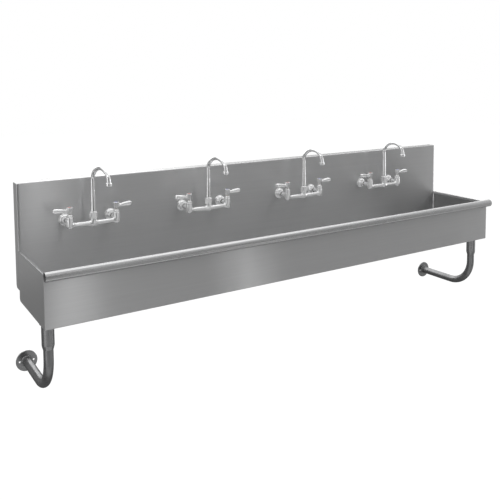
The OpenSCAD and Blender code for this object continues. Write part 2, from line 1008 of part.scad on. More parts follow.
module valve_stem(side) {
    color("goldenrod")
        at_valve(side) {
            difference() {
                union() {
                    translate([0, 0, chamber_floor + stem_disc_gap])
                        cylinder(r = stem_disc_r, h = stem_disc_t);
                    translate([0, 0, chamber_floor + stem_disc_gap])
                        cylinder(r = stem_r, h = stem_top - chamber_floor - stem_disc_gap);
                }
                translate([0, 0, stem_top - screw_hole_depth])
                    cylinder(r = screw_r + pivot_clearance, h = screw_hole_depth + cut_over);
            }
            translate([0, 0, stem_top - screw_length])
                cylinder(r = screw_r, h = screw_length);
            translate([0, 0, stem_top])
                cylinder(r = screw_head_r, h = screw_head_t);
        }
}

module index_button(side, tint) {
    color(tint)
        at_valve(side)
            translate([0, 0, index_z])
                cylinder(r = index_r, h = hub_top + index_proud - index_z);
}

back_panel();
trough_pan();
end_panel(-1);  // left_end_panel
end_panel(1);  // right_end_panel
wall_hanger();
hanger_cleat();
drain_body();
drain_strainer();
drain_gasket();
drain_locknut();
support_socket(-1);  // left_support_socket
support_socket(1);  // right_support_socket
support_tube(-1);  // left_support_tube
support_tube(1);  // right_support_tube
wall_flange(-1);  // left_wall_flange
wall_flange(1);  // right_wall_flange
socket_set_screws();
supply_nipples();
supply_locknuts();
wall_escutcheons();
coupling_nuts();
coupling_washers();
valve_bonnets();
spout_nuts();

for (i = [0 : STATION_COUNT - 1]) {
    number = i + 1;
    at_station(i) faucet_body();
    at_station(i) gooseneck_spout();
    at_station(i) aerator();
    at_station(i) lever_handle(-1);
    at_station(i) valve_stem(-1);
    at_station(i) index_button(-1, "red");
    at_station(i) lever_handle(1);
    at_station(i) valve_stem(1);
    at_station(i) index_button(1, "blue");
}
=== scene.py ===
import math

import bmesh
import bpy
import numpy as np
from mathutils import Matrix, Quaternion, Vector


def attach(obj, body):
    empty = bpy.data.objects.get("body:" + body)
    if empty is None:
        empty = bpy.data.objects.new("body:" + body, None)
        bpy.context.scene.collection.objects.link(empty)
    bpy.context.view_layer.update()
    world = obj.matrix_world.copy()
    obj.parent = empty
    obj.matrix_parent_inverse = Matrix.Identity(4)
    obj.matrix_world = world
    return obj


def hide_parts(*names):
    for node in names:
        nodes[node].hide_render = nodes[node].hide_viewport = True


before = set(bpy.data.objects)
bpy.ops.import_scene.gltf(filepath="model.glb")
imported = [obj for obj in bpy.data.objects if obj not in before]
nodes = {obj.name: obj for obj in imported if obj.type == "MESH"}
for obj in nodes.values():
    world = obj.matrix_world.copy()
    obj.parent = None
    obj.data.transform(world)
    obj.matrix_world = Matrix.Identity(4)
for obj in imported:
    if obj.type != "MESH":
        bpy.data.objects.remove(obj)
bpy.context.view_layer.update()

# Sizes in millimetres, as the solids have them
MM = 0.001
STATIONS = (-923, -370, 183, 736)
HALF_LENGTH = 1219
SHEET = 1.6
INNER_X = HALF_LENGTH - SHEET
TOP_Z = 45
RIM_Z = -234
BOTTOM_Z = -445
SPLASH_Y = -51
SPLASH_BACK_Y = SPLASH_Y + SHEET
FRONT_Y = -432
FRONT_BEND_R = 5
COVE_R = 16
RETURN_FOOT_Z = -401
RETURN_CUT = 10
LIP_FOOT_Z = 33
ROLL_R = 19
ROLL_Y = FRONT_Y + SHEET - ROLL_R
ROLL_Z = -240
ROLL_SWEEP = 325
HEM_FOOT_Z = -246
HEM_WIDTH = 10
FOLD_CUT = 13
LEFT_FOLD = 4
RIGHT_FOLD = 9
TOP_FOLD = 8
CORNER_WELD_R = 3
DRAIN_Y = -241.5
DRAIN_HOLE_R = 25.63
RECESS_R = 60
RECESS_FLOOR_R = 52
RECESS_DEPTH = 5
PATCH_HALF = 80
SUPPORT_X = 1189
SUPPORT_Y = -356
SUPPORT_Z = -725
TUBE_R = 19
TUBE_SIDES = 48
TUBE_BEND_R = 140
COLLAR_R = 28
FLANGE_T = 5
INLET_Z = -128
INLET_HALF = 101.6
VALVE_REACH = 75
VALVE_Y = SPLASH_Y - VALVE_REACH
SPOUT_SWING = 16
SPOUT_R = 8.5
SPOUT_BEND_R = 57
SPOUT_REACH = 2 * SPOUT_BEND_R
SPOUT_TIP_Z = 163.5
AERATOR_FOOT_Z = 155.5
FLOOR_Z = -1094


# Mesh helpers

class Shape:
    """Vertices in millimetres and faces, each face with a material number."""

    def __init__(self):
        self.points = []
        self.faces = []
        self.slots = []

    def add(self, points, faces, slot=0, matrix=None):
        start = len(self.points)
        for point in points:
            vector = Vector([float(v) for v in point])
            self.points.append(matrix @ vector if matrix else vector)
        for face in faces:
            self.faces.append([start + int(i) for i in face])
            self.slots.append(slot)
        return self

    def mesh(self, name, materials, sharp_angle=30):
        mesh = bpy.data.meshes.new(name)
        mesh.from_pydata([p * MM for p in self.points], [], self.faces)
        for material in materials:
            mesh.materials.append(material)
        mesh.polygons.foreach_set("material_index", self.slots)
        mark_sharp(mesh, sharp_angle)
        return mesh


def mark_sharp(mesh, sharp_angle):
    """Smooth shading, with the edges over the angle kept sharp."""
    work = bmesh.new()
    work.from_mesh(mesh)
    bmesh.ops.recalc_face_normals(work, faces=work.faces)
    limit = math.radians(sharp_angle)
    for face in work.faces:
        face.smooth = True
    for edge in work.edges:
        edge.smooth = len(edge.link_faces) == 2 and edge.calc_face_angle(0) < limit
    work.to_mesh(mesh)
    work.free()


def place(name, mesh, body, replaced=(), matrix=None):
    """A new piece that rides on a body and stands for CAD nodes."""
    piece = bpy.data.objects.new(name, mesh)
    bpy.context.scene.collection.objects.link(piece)
    if matrix:
        piece.matrix_world = matrix
    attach(piece, body)
    if replaced:
        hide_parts(*replaced)


def shift(x, y, z):
    return Matrix.Translation((x, y, z))


def metres(matrix):
    """A matrix whose shift is in millimetres, for an object in metres."""
    result = matrix.copy()
    result.translation = matrix.translation * MM
    return result


def arc(cy, cz, radius, start, end, steps):
    """Points on an arc in a plane, by angle in degrees from the first axis."""
    angles = np.radians(np.linspace(start, end, steps + 1))
    return [(cy + radius * math.cos(a), cz + radius * math.sin(a)) for a in angles]


def lathe(profile, segments=48, closed=False):
    """Points (r, z) turned about Z. A closed profile is a ring of points."""
    points = []
    for k in range(segments):
        angle = 2 * math.pi * k / segments
        for r, z in profile:
            points.append((r * math.cos(angle), r * math.sin(angle), z))
    count = len(profile)
    last = count if closed else count - 1
    faces = []
    for k in range(segments):
        for j in range(last):
            a = k * count + j
            b = k * count + (j + 1) % count
            c = ((k + 1) % segments) * count
            faces.append((a, c + j, c + (j + 1) % count, b))
    return points, faces


def hex_nut(corner_r, bore_r, low, high, chamfer_r, segments=96):
    """A hexagon nut along Z whose corners are turned off at both ends."""
    apothem = corner_r * math.cos(math.pi / 6)
    slope = math.tan(math.radians(30))
    points = []
    for k in range(segments):
        angle = 2 * math.pi * k / segments
        local = (angle + math.pi / 6) % (math.pi / 3) - math.pi / 6
        outer = apothem / math.cos(math.pi / 6 - abs(local))
        ring = min(outer, chamfer_r)
        drop = (outer - ring) * slope
        for r, z in (
            (bore_r, low), (ring, low), (outer, low + drop),
            (outer, high - drop), (ring, high), (bore_r, high),
        ):
            points.append((r * math.cos(angle), r * math.sin(angle), z))
    faces = []
    for k in range(segments):
        for j in range(6):
            a = k * 6 + j
            b = k * 6 + (j + 1) % 6
            c = ((k + 1) % segments) * 6
            faces.append((a, c + j, c + (j + 1) % 6, b))
    return points, faces


def sweep(path, radius, sides):
    """A closed round bar along a path in millimetres."""
    path = np.array(path, float)
    ahead = np.gradient(path, axis=0)
    ahead /= np.linalg.norm(ahead, axis=1)[:, None]
    side = np.cross(ahead[0], (0.3, 0.2, 1.0) if abs(ahead[0][2]) < 0.9 else (1.0, 0, 0))
    points = []
    for centre, direction in zip(path, ahead):
        side = side - direction * side.dot(direction)
        side /= np.linalg.norm(side)
        other = np.cross(direction, side)
        for k in range(sides):
            angle = 2 * math.pi * k / sides
            points.append(centre + radius * (side * math.cos(angle) + other * math.sin(angle)))
    faces = []
    for j in range(len(path) - 1):
        for k in range(sides):
            n = (k + 1) % sides
            faces.append((j * sides + k, j * sides + n, (j + 1) * sides + n, (j + 1) * sides + k))
    faces.append(tuple(range(sides))[::-1])
    faces.append(tuple(range((len(path) - 1) * sides, len(path) * sides)))
    return points, faces


def strip_profile(centre, thickness):
    """The two faces of a bent sheet, as offsets of its centre line in Y and Z."""
    line = np.array(centre, float)
    ahead = np.gradient(line, axis=0)
    ahead /= np.linalg.norm(ahead, axis=1)[:, None]
    side = np.stack([-ahead[:, 1], ahead[:, 0]], axis=1) * thickness / 2
    return line + side, line - side


# Rounded castings, by distance fields on a grid in millimetres

def surface_of(distance, low, high, step):
    """A closed quad mesh of the surface where the distance is zero."""
    axes = [np.arange(a, b + step, step) for a, b in zip(low, high)]
    grid = np.stack(np.meshgrid(*axes, indexing="ij"), axis=-1)
    value = distance(grid.reshape(-1, 3)).reshape(grid.shape[:3])
    total = np.zeros((*[n - 1 for n in value.shape], 3))
    count = np.zeros(total.shape[:3])
    quads = []
    for a in range(3):
        b = (a + 1) % 3
        c = (a + 2) % 3
        here = [slice(None)] * 3
        there = [slice(None)] * 3
        here[a] = slice(0, -1)
        there[a] = slice(1, None)
        near = value[tuple(here)]
        far = value[tuple(there)]
        index = np.argwhere((near < 0) != (far < 0))
        v0 = near[tuple(index.T)]
        v1 = far[tuple(index.T)]
        spot = grid[tuple(index.T)].copy()
        spot[:, a] += step * v0 / (v0 - v1)
        corners = []
        for db, dc in ((0, 0), (1, 0), (1, 1), (0, 1)):
            cell = index.copy()
            cell[:, b] -= db
            cell[:, c] -= dc
            np.add.at(total, tuple(cell.T), spot)
            np.add.at(count, tuple(cell.T), 1)
            corners.append(cell)
        corners = np.stack(corners, axis=1)
        flip = v0 > 0
        corners[flip] = corners[flip][:, ::-1]
        quads.append(corners)
    used = count > 0
    number = -np.ones(count.shape, int)
    number[used] = np.arange(used.sum())
    points = total[used] / count[used][:, None]
    for _ in range(4):
        here = distance(points)
        slope = np.zeros_like(points)
        for a in range(3):
            nudge = np.zeros(3)
            nudge[a] = 0.05
            slope[:, a] = (distance(points + nudge) - distance(points - nudge)) / 0.1
        length = np.maximum((slope ** 2).sum(axis=1), 0.2)
        points = points - np.clip(here / length, -step / 2, step / 2)[:, None] * slope
    quads = np.concatenate(quads)
    faces = number[quads[..., 0], quads[..., 1], quads[..., 2]]
    return points, faces


def blend_min(a, b, width):
    """The smaller distance, with a fillet of about that width."""
    h = np.clip(0.5 + 0.5 * (b - a) / width, 0, 1)
    return b + (a - b) * h - width * h * (1 - h)


def cone_bar(p, start, end, r0, r1):
    """A round bar between two points with a radius at each end."""
    start = np.array(start, float)
    along = np.array(end, float) - start
    t = np.clip((p - start) @ along / (along @ along), 0, 1)
    return np.linalg.norm(p - start - t[:, None] * along, axis=1) - (r0 + (r1 - r0) * t)


def turned_disc(p, x, y, z0, z1, r0, r1, edge):
    """An upright cone frustum about a point, with rounded edges."""
    t = np.clip((p[:, 2] - z0) / (z1 - z0), 0, 1)
    wide = np.hypot(p[:, 0] - x, p[:, 1] - y) - (r0 + (r1 - r0) * t) + edge
    tall = np.abs(p[:, 2] - (z0 + z1) / 2) - (z1 - z0) / 2 + edge
    outside = np.hypot(np.maximum(wide, 0), np.maximum(tall, 0))
    return outside + np.minimum(np.maximum(wide, tall), 0) - edge


# Materials

def new_material(name):
    material = bpy.data.materials.new(name)
    material.use_nodes = True
    tree = material.node_tree
    return material, tree, tree.nodes["Principled BSDF"]


def add(tree, kind, **values):
    node = tree.nodes.new(kind)
    for key, value in values.items():
        setattr(node, key, value)
    return node


def noise(tree, scale, detail=3.0, stretch=(1, 1, 1)):
    """Noise over the object's own coordinates, stretched along its axes."""
    where = add(tree, "ShaderNodeTexCoord")
    mapping = add(tree, "ShaderNodeMapping")
    mapping.inputs["Scale"].default_value = stretch
    texture = add(tree, "ShaderNodeTexNoise")
    texture.inputs["Scale"].default_value = scale
    texture.inputs["Detail"].default_value = detail
    texture.inputs["Roughness"].default_value = 0.55
    tree.links.new(where.outputs["Object"], mapping.inputs["Vector"])
    tree.links.new(mapping.outputs["Vector"], texture.inputs["Vector"])
    return texture.outputs["Fac"]


def ramp(tree, source, low, high, low_value, high_value):
    """A straight change from one value to another."""
    node = add(tree, "ShaderNodeMapRange")
    node.inputs["From Min"].default_value = low
    node.inputs["From Max"].default_value = high
    node.inputs["To Min"].default_value = low_value
    node.inputs["To Max"].default_value = high_value
    tree.links.new(source, node.inputs["Value"])
    return node.outputs["Result"]


def tint(tree, factor, first, second):
    """A mix of two colours."""
    node = add(tree, "ShaderNodeMix", data_type="RGBA")
    node.inputs["A"].default_value = (*first, 1)
    node.inputs["B"].default_value = (*second, 1)
    tree.links.new(factor, node.inputs["Factor"])
    return node.outputs["Result"]


def math_node(tree, operation, first, second):
    node = add(tree, "ShaderNodeMath", operation=operation)
    for socket, value in zip(node.inputs, (first, second)):
        if isinstance(value, (int, float)):
            socket.default_value = value
        else:
            tree.links.new(value, socket)
    return node.outputs["Value"]


def bump(tree, shader, height, strength, distance, normal=None):
    node = add(tree, "ShaderNodeBump")
    node.inputs["Strength"].default_value = strength
    node.inputs["Distance"].default_value = distance
    tree.links.new(height, node.inputs["Height"])
    if normal:
        tree.links.new(normal, node.inputs["Normal"])
    tree.links.new(node.outputs["Normal"], shader.inputs["Normal"])
    return node.outputs["Normal"]


def brushed_sheet(name, axis, roughness, anisotropy, turn, shade=1.0):
    """Satin stainless sheet with its grain along one axis, and soft waves left by the rolls."""
    material, tree, shader = new_material(name)
    fine = [900.0, 900.0, 900.0]
    fine[axis] = 6.0
    broad = [90.0, 90.0, 90.0]
    broad[axis] = 1.2
    grain = noise(tree, 1.0, 2.0, tuple(fine))
    streak = noise(tree, 1.0, 3.0, tuple(broad))
    cloud = noise(tree, 2.4, 3.0)
    waves = noise(tree, 1.0, 1.0, (3.2, 1.0, 1.4))
    both = math_node(tree, "ADD", math_node(tree, "MULTIPLY", grain, 0.45),
                     math_node(tree, "MULTIPLY", streak, 0.3))
    both = math_node(tree, "ADD", both, math_node(tree, "MULTIPLY", cloud, 0.25))
    # shade scales the sheet's colour: below 1 it paints shade, above 1 a highlight, on copies of the same
    # sheet
    dark = (0.57 * shade, 0.572 * shade, 0.575 * shade)
    light = (0.63 * shade, 0.632 * shade, 0.635 * shade)
    colour = tint(tree, ramp(tree, both, 0.3, 0.7, 0.0, 1.0), dark, light)
    tree.links.new(colour, shader.inputs["Base Color"])
    tree.links.new(ramp(tree, both, 0.3, 0.7, roughness, roughness + 0.03), shader.inputs["Roughness"])
    shader.inputs["Metallic"].default_value = 0.97
    shader.inputs["Anisotropic"].default_value = anisotropy
    shader.inputs["Anisotropic Rotation"].default_value = turn
    direction = add(tree, "ShaderNodeCombineXYZ")
    direction.inputs[axis].default_value = 1.0
    tree.links.new(direction.outputs["Vector"], shader.inputs["Tangent"])
    first = bump(tree, shader, waves, 1.0, 0.003)
    bump(tree, shader, grain, 0.1, 0.0003, first)
    return material


def polished_round(name, dark, light, roughness):
    """Tube steel polished round and round, so that highlights run along its length."""
    material, tree, shader = new_material(name)
    cloud = noise(tree, 25, 4.0)
    tree.links.new(tint(tree, ramp(tree, cloud, 0.3, 0.7, 0.0, 1.0), dark, light),
                   shader.inputs["Base Color"])
    tree.links.new(ramp(tree, cloud, 0.3, 0.7, roughness[0], roughness[1]), shader.inputs["Roughness"])
    shader.inputs["Metallic"].default_value = 1.0
    shader.inputs["Anisotropic"].default_value = 0.8
    tangent = add(tree, "ShaderNodeTangent", direction_type="UV_MAP", uv_map="along")
    tree.links.new(tangent.outputs["Tangent"], shader.inputs["Tangent"])
    bump(tree, shader, noise(tree, 350, 2.0), 0.05, 0.0003)
    return material


def plain_metal(name, dark, light, roughness, scale, grain=0.0, metallic=1.0):
    """Turned, cast or drawn metal with a little variation in colour and gloss."""
    material, tree, shader = new_material(name)
    cloud = noise(tree, scale, 4.0)
    fine = noise(tree, scale * 14, 2.0)
    tree.links.new(tint(tree, ramp(tree, cloud, 0.3, 0.7, 0.0, 1.0), dark, light),
                   shader.inputs["Base Color"])
    tree.links.new(ramp(tree, fine, 0.3, 0.7, roughness[0], roughness[1]), shader.inputs["Roughness"])
    shader.inputs["Metallic"].default_value = metallic
    if grain:
        bump(tree, shader, fine, grain, 0.0003)
    return material


def moulded(name, dark, light, roughness, scale, coat=0.0):
    """Rubber or plastic with a fine skin."""
    material, tree, shader = new_material(name)
    cloud = noise(tree, scale, 4.0)
    tree.links.new(tint(tree, ramp(tree, cloud, 0.3, 0.7, 0.0, 1.0), dark, light),
                   shader.inputs["Base Color"])
    tree.links.new(ramp(tree, cloud, 0.3, 0.7, roughness[0], roughness[1]), shader.inputs["Roughness"])
    shader.inputs["Coat Weight"].default_value = coat
    bump(tree, shader, noise(tree, scale * 8, 2.0), 0.1, 0.0002)
    return material


steel_x = brushed_sheet("stainless grain along X", 0, 0.34, 1.0, 0.25)
steel_y = brushed_sheet("stainless grain along Y", 1, 0.28, 0.6, 0.25)
# The insides of the ends are the same sheet at 0.66 of its colour: painted shade
steel_inner_painted_shade = brushed_sheet("stainless inside the ends, painted shade", 1, 0.28, 0.6, 0.25, 0.66)
# The roll is the same sheet at 0.8 of its colour, painted shade; its turned, sharper gloss is real
steel_roll_painted_shade = brushed_sheet("stainless roll, painted shade", 0, 0.26, 0.8, 0.0, 0.80)
# The top return is the same sheet at 0.6 of its colour, painted shade; its smoother gloss is real
steel_top_painted_shade = brushed_sheet("stainless top return, painted shade", 0, 0.22, 0.3, 0.0, 0.60)
# The hem is the same sheet at 1.3 times its colour: a painted highlight along the hem
steel_hem_painted_highlight = brushed_sheet("stainless hem, painted highlight", 1, 0.22, 0.2, 0.0, 1.30)
weld_steel = plain_metal(
    "ground weld", (0.46, 0.46, 0.465), (0.58, 0.58, 0.585), (0.26, 0.40), 90, 0.2)
hanger_steel = plain_metal(
    "hanger steel", (0.36, 0.37, 0.38), (0.48, 0.49, 0.50), (0.38, 0.52), 30, 0.1)
support_steel = plain_metal(
    "support steel", (0.30, 0.303, 0.306), (0.36, 0.363, 0.366), (0.24, 0.36), 25, 0.05)
# The tubes are a darker copy of the support steel, for the dark surroundings they reflect: painted shade; the
# round polish is real
tube_steel_painted_shade = polished_round("tube steel, painted shade", (0.24, 0.242, 0.245), (0.29, 0.292, 0.295), (0.26, 0.32))
drain_steel = plain_metal(
    "drain steel", (0.50, 0.505, 0.51), (0.60, 0.605, 0.61), (0.18, 0.30), 60, 0.05)
chrome = plain_metal(
    "chrome", (0.88, 0.883, 0.886), (0.93, 0.932, 0.934), (0.05, 0.08), 22, metallic=0.92)
cast_chrome = plain_metal(
    "chrome on castings", (0.92, 0.922, 0.924), (0.96, 0.962, 0.964), (0.09, 0.14), 22, metallic=0.58)
brass = plain_metal("brass", (0.56, 0.40, 0.17), (0.70, 0.52, 0.25), (0.24, 0.38), 80, 0.05)
screw_steel = plain_metal(
    "blackened steel", (0.10, 0.10, 0.105), (0.16, 0.16, 0.165), (0.35, 0.5), 120, 0.05)
screen_steel = plain_metal(
    "aerator screen", (0.10, 0.10, 0.10), (0.22, 0.22, 0.22), (0.35, 0.5), 900, 0.5)
# The stems' brass is darkened for the shade under the hubs: painted shade
brass_painted_shade = plain_metal(
    "brass darkened, painted shade", (0.22, 0.18, 0.12), (0.30, 0.245, 0.165), (0.3, 0.45), 80, 0.05)
rubber = moulded("rubber", (0.018, 0.018, 0.019), (0.035, 0.035, 0.036), (0.62, 0.78), 140)
red_plastic = moulded("red index", (0.42, 0.11, 0.10), (0.50, 0.15, 0.13), (0.2, 0.3), 160, 0.6)
blue_plastic = moulded("blue index", (0.11, 0.14, 0.40), (0.15, 0.18, 0.48), (0.2, 0.3), 160, 0.6)


# Sheet metal

def bevel_edges(mesh_data, wanted, width, segments):
    """Rounds the corners that the test picks, given their edge's two ends in millimetres."""
    work = bmesh.new()
    work.from_mesh(mesh_data)
    corners = [e for e in work.edges if e.is_manifold and e.calc_face_angle(0) > 1]
    edges = [e for e in corners if wanted(e.verts[0].co / MM, e.verts[1].co / MM)]
    bmesh.ops.bevel(work, geom=edges, offset=width * MM, segments=segments, profile=0.5,
                    affect="EDGES", clamp_overlap=True)
    bmesh.ops.remove_doubles(work, verts=work.verts, dist=1e-5)
    work.to_mesh(mesh_data)
    work.free()


def solid_sheet(mesh_data, thickness):
    """Gives an open shell its thickness, on the side away from its normals."""
    work = bmesh.new()
    work.from_mesh(mesh_data)
    bmesh.ops.recalc_face_normals(work, faces=work.faces)
    work.to_mesh(mesh_data)
    work.free()
    holder = bpy.data.objects.new("shell", mesh_data)
    bpy.context.scene.collection.objects.link(holder)
    thick = holder.modifiers.new("thickness", "SOLIDIFY")
    thick.thickness = thickness * MM
    thick.offset = -1
    thick.use_even_offset = True
    result = bpy.data.meshes.new_from_object(holder.evaluated_get(bpy.context.evaluated_depsgraph_get()))
    bpy.data.objects.remove(holder)
    return result


def near(value, target):
    return abs(value - target) < 0.01


def back_panel_mesh():
    """The backsplash with its folded top, side and wall returns."""
    shape = Shape()
    for side in (-1, 1):
        x = side * HALF_LENGTH
        shape.add(
            [(x, SPLASH_Y, TOP_Z), (x, 0, TOP_Z), (x, 0, RETURN_FOOT_Z + RETURN_CUT),
             (x, -RETURN_CUT, RETURN_FOOT_Z), (x, SPLASH_Y, RETURN_FOOT_Z)],
            [(0, 1, 2, 3, 4)], 1)
    left = -HALF_LENGTH
    right = HALF_LENGTH
    foot = BOTTOM_Z + COVE_R
    shape.add(
        [(left, SPLASH_Y, TOP_Z), (left, SPLASH_Y, RETURN_FOOT_Z), (left, SPLASH_Y, foot),
         (right, SPLASH_Y, foot), (right, SPLASH_Y, RETURN_FOOT_Z), (right, SPLASH_Y, TOP_Z)],
        [(0, 1, 2, 3, 4, 5)])
    # The top return takes slot 2, the darkened copy of the sheet that paints shade
    shape.add([(left, SPLASH_Y, TOP_Z), (left, 0, TOP_Z), (right, 0, TOP_Z), (right, SPLASH_Y, TOP_Z)],
              [(0, 1, 2, 3)], 2)
    shape.add([(left, 0, TOP_Z), (left, 0, LIP_FOOT_Z), (right, 0, LIP_FOOT_Z), (right, 0, TOP_Z)],
              [(0, 1, 2, 3)])
    mesh = bpy.data.meshes.new("back panel")
    mesh.from_pydata([p * MM for p in shape.points], [], shape.faces)
    for finish in (steel_x, steel_y, steel_top_painted_shade):
        mesh.materials.append(finish)
    mesh.polygons.foreach_set("material_index", shape.slots)
    work = bmesh.new()
    work.from_mesh(mesh)
    bmesh.ops.remove_doubles(work, verts=work.verts, dist=1e-6)
    # Cuts beside the folds keep the sheet's faces flat when they are shaded smooth
    for axis, level in ((0, left + FOLD_CUT), (0, right - FOLD_CUT), (2, TOP_Z - FOLD_CUT),
                        (1, SPLASH_Y + FOLD_CUT), (1, -FOLD_CUT)):
        spot = Vector((0, 0, 0))
        spot[axis] = level * MM
        facing = Vector((0, 0, 0))
        facing[axis] = 1
        bmesh.ops.bisect_plane(work, geom=work.verts[:] + work.edges[:] + work.faces[:], dist=1e-6,
                               plane_co=spot, plane_no=facing)
    bmesh.ops.recalc_face_normals(work, faces=work.faces)
    work.to_mesh(mesh)
    work.free()

    def upright(a, b):
        level = near(a.y, SPLASH_Y) and near(b.y, SPLASH_Y) and near(a.x, b.x)
        return level and min(a.z, b.z) > RETURN_FOOT_Z - 1

    def left_fold(a, b):
        return upright(a, b) and a.x < 0

    def right_fold(a, b):
        return upright(a, b) and a.x > 0

    def along_top(a, b):
        return near(a.z, TOP_Z) and near(b.z, TOP_Z)

    bevel_edges(mesh, left_fold, LEFT_FOLD, 5)
    bevel_edges(mesh, right_fold, RIGHT_FOLD, 7)
    bevel_edges(mesh, along_top, TOP_FOLD, 7)
    mesh = solid_sheet(mesh, SHEET)
    mark_sharp(mesh, 35)
    return mesh


def pan_profile():
    """The centre line of the bottom, the front wall and the roll, from the rear cove."""
    half = SHEET / 2
    cove_y = SPLASH_BACK_Y - COVE_R
    line = arc(cove_y, BOTTOM_Z + COVE_R, COVE_R - half, 0, -90, 12)
    line += [(cove_y - 10, BOTTOM_Z + half), (DRAIN_Y + PATCH_HALF + 10, BOTTOM_Z + half)]
    bottom_end = len(line)
    line += [(DRAIN_Y + PATCH_HALF, BOTTOM_Z + half), (DRAIN_Y - PATCH_HALF, BOTTOM_Z + half)]
    line.append((DRAIN_Y - PATCH_HALF - 10, BOTTOM_Z + half))
    line.append((FRONT_Y + FRONT_BEND_R + 5, BOTTOM_Z + half))
    line += arc(FRONT_Y + FRONT_BEND_R, BOTTOM_Z + FRONT_BEND_R, FRONT_BEND_R - half, 270, 180, 8)
    line += [(FRONT_Y + half, BOTTOM_Z + 20), (FRONT_Y + half, ROLL_Z - 20), (FRONT_Y + half, ROLL_Z - 5)]
    roll_start = len(line)
    line += arc(ROLL_Y, ROLL_Z, ROLL_R - half, 0, ROLL_SWEEP, 60)
    return line, bottom_end, roll_start


def trough_pan_mesh():
    line, patch_row, roll_start = pan_profile()
    upper, lower = strip_profile(line, SHEET)
    xs = [-INNER_X, -PATCH_HALF, PATCH_HALF, INNER_X]
    shape = Shape()
    for face_line in (upper, lower):
        points = []
        for j, (y, z) in enumerate(face_line):
            for x in xs:
                wide = j >= roll_start and abs(x) > PATCH_HALF
                points.append((math.copysign(HALF_LENGTH, x) if wide else x, y, z))
        faces = []
        for j in range(len(face_line) - 1):
            for i in range(3):
                if i == 1 and j == patch_row:
                    continue
                a = j * 4 + i
                faces.append((a, a + 1, a + 5, a + 4))
        # The roll's faces take the darkened copy of the sheet, painted shade
        rolled = [1 if face[0] >= (roll_start - 1) * 4 else 0 for face in faces]
        shape.add(points, faces)
        shape.slots[-len(faces):] = rolled
    # The sheet's edges at both ends and along the roll and the cove
    count = len(line) * 4
    edge_faces = []
    for j in range(len(line) - 1):
        for i in (0, 3):
            a = j * 4 + i
            edge_faces.append((a, a + 4, a + 4 + count, a + count))
    for j in (0, len(line) - 1):
        for i in range(3):
            a = j * 4 + i
            edge_faces.append((a, a + 1, a + 1 + count, a + count))
    for face in edge_faces:
        shape.faces.append(list(face))
        shape.slots.append(0)
    # The pressed recess round the drain hole
    rings = ((RECESS_R + 2, 0), (RECESS_R, -0.2), (RECESS_R - 1.5, -1),
             (RECESS_FLOOR_R + 1.5, -RECESS_DEPTH + 1), (RECESS_FLOOR_R, -RECESS_DEPTH + 0.2),
             (RECESS_FLOOR_R - 2, -RECESS_DEPTH), (DRAIN_HOLE_R, -RECESS_DEPTH))
    turn = 64
    for level in (BOTTOM_Z + SHEET, BOTTOM_Z):
        points = []
        for k in range(turn):
            angle = 2 * math.pi * k / turn
            square = PATCH_HALF / max(abs(math.cos(angle)), abs(math.sin(angle)))
            for r, z in ((square, 0), *rings):
                points.append((r * math.cos(angle), DRAIN_Y + r * math.sin(angle), level + z))
        n = len(rings) + 1
        faces = []
        for k in range(turn):
            for j in range(n - 1):
                a = k * n + j
                b = ((k + 1) % turn) * n + j
                faces.append((a, b, b + 1, a + 1))
        shape.add(points, faces)
    return shape.mesh("trough pan", [steel_x, steel_roll_painted_shade], 35)


def end_panel_mesh(side):
    """An end of the bowl, with its hem and its ground outer edge."""
    top = RIM_Z - SHEET
    outline = [(SPLASH_Y, BOTTOM_Z + COVE_R), (SPLASH_Y, top), (FRONT_Y + SHEET, top),
               (FRONT_Y + SHEET, ROLL_Z), (FRONT_Y, ROLL_Z)]
    outline += arc(FRONT_Y + FRONT_BEND_R, BOTTOM_Z + FRONT_BEND_R, FRONT_BEND_R, 180, 270, 8)
    outline += arc(SPLASH_BACK_Y - COVE_R, BOTTOM_Z + COVE_R, COVE_R, 270, 354, 12)
    ground = 1.2
    shape = Shape()
    rings = []
    for x, inset in ((INNER_X, 0), (HALF_LENGTH - ground, 0), (HALF_LENGTH - ground * 0.3, ground * 0.3),
                     (HALF_LENGTH, ground)):
        rings.append([(side * x, y, z) for y, z in inset_outline(outline, inset, top)])
    n = len(outline)
    points = [p for ring in rings for p in ring]
    faces = []
    for r in range(len(rings) - 1):
        for j in range(n):
            k = (j + 1) % n
            faces.append((r * n + j, r * n + k, (r + 1) * n + k, (r + 1) * n + j))
    faces.append(tuple(range((len(rings) - 1) * n, len(rings) * n)))
    shape.add(points, faces)
    # The inside face takes the darkened copy of the sheet, painted shade
    shape.add(points[:n], [tuple(range(n))], 1)
    # The hem folded inwards along the top, in the brightened copy of the sheet that paints a highlight along
    # it
    hem_x = HALF_LENGTH - HEM_WIDTH
    fold = [(HALF_LENGTH, top)]
    fold += arc(HALF_LENGTH - SHEET, top, SHEET, 0, 90, 6)[1:]
    fold += arc(hem_x + SHEET, top, SHEET, 90, 180, 6)
    fold += [(hem_x, HEM_FOOT_Z + 0.4), (hem_x + 0.4, HEM_FOOT_Z), (INNER_X, HEM_FOOT_Z)]
    back = SPLASH_Y
    front = FRONT_Y + SHEET + 0.1
    points = [(side * x, back, z) for x, z in fold] + [(side * x, front, z) for x, z in fold]
    n = len(fold)
    faces = [(j, j + 1, n + j + 1, n + j) for j in range(n - 1)]
    faces += [tuple(range(n)), tuple(range(n, 2 * n))]
    shape.add(points, faces, 2)
    return shape.mesh("end panel", [steel_y, steel_inner_painted_shade, steel_hem_painted_highlight], 20)


